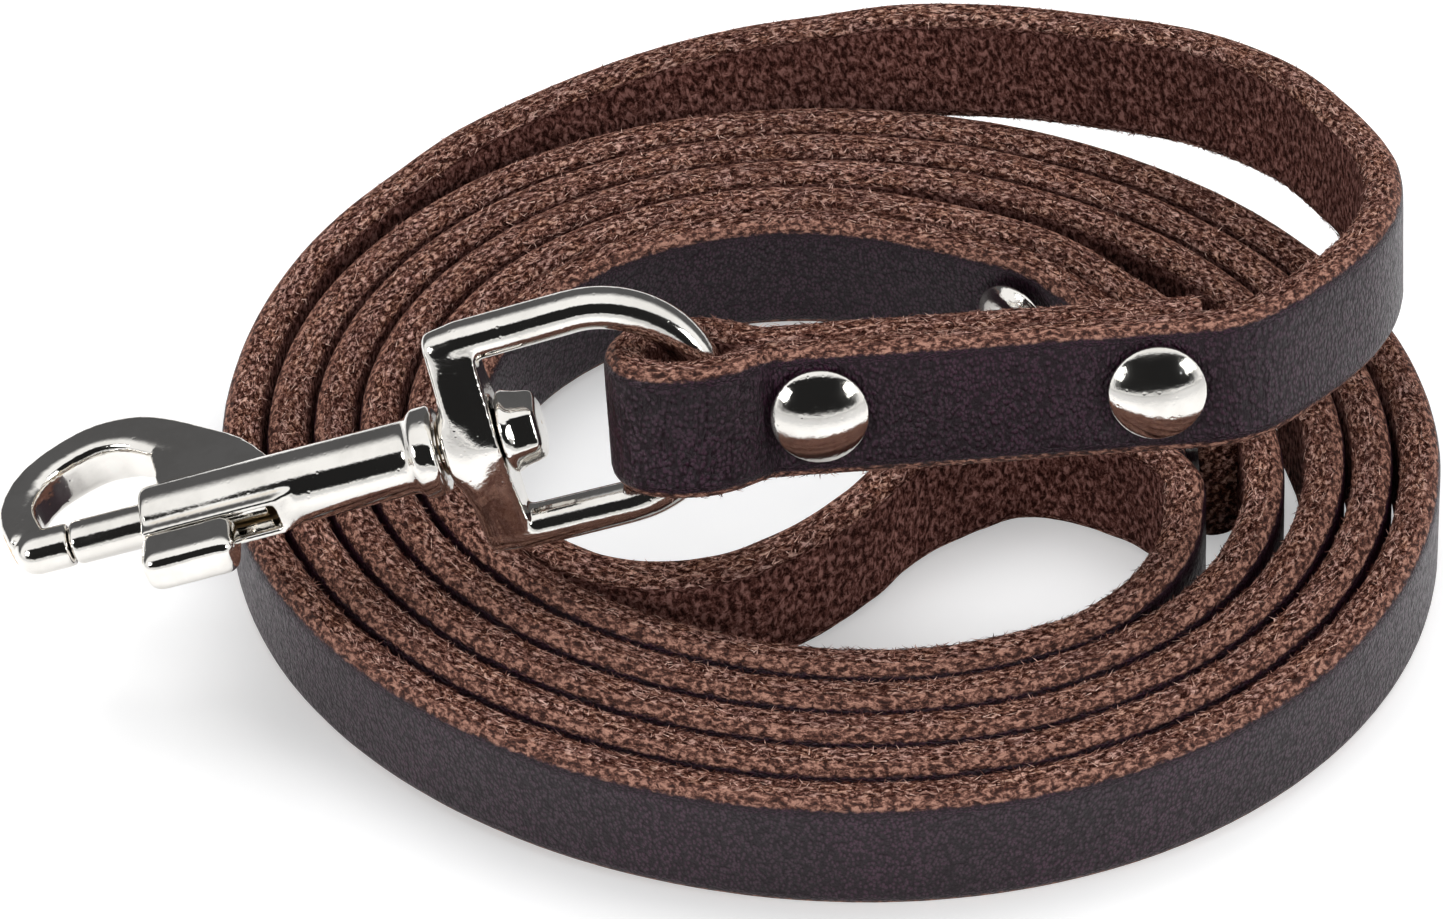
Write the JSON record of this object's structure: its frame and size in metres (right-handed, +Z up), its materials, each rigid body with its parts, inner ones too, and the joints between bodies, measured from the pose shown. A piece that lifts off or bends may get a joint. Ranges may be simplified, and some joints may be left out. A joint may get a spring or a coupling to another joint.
{
  "type": "coiled leather dog training leash",
  "caption": "Coiled brown leather dog leash standing on its edge, with a folded and riveted handle and a nickel swivel bolt snap at the free end.",
  "frame": {"origin": "on the floor under the middle of the outline, where the coil stands on the strap's lower edge", "axes": "+Z up, +X along the snap from its hook towards its eye (level part of it), -Y towards the side the rivet caps face"},
  "size_m": [0.1347, 0.112, 0.0413],
  "materials": {
    "leather": "oiled grain outside, rough flesh side and cut edges",
    "nickel": "bright nickel plate"
  },
  "bodies": {
    "strap": {"strap_lead": "leather", "strap_coil": "leather", "strap_handle": "leather", "clip_rivet_caps": "nickel", "clip_rivet_backs": "nickel", "handle_rivet_caps": "nickel", "handle_rivet_backs": "nickel"},
    "eye": {"swivel_eye": "nickel"},
    "snap": {"snap_body": "nickel", "swivel_stud": "nickel", "bolt_spring": "nickel"},
    "bolt": {"sliding_bolt": "nickel", "thumb_knob": "nickel"}
  },
  "joints": [
    {"name": "eye_swing", "type": "hinge", "parent": "strap", "child": "eye", "pos_m": [-0.00237, -0.01863, 0.03161], "axis": [-0.2171, 0.2801, 0.9351], "range_deg": [0, 10]},
    {"name": "snap_swivel", "type": "hinge", "parent": "eye", "child": "snap", "pos_m": [-0.02538, -0.01887, 0.02634], "axis": [0.9747, 0.0102, 0.2232], "continuous": true},
    {"name": "bolt_slide", "type": "slide", "parent": "snap", "child": "bolt", "axis": [0.9747, 0.0102, 0.2232], "range_m": [0, 0.007], "stiffness_N_per_m": 150, "springref_m": -0.004, "deforming": ["bolt_spring"]}
  ]
}
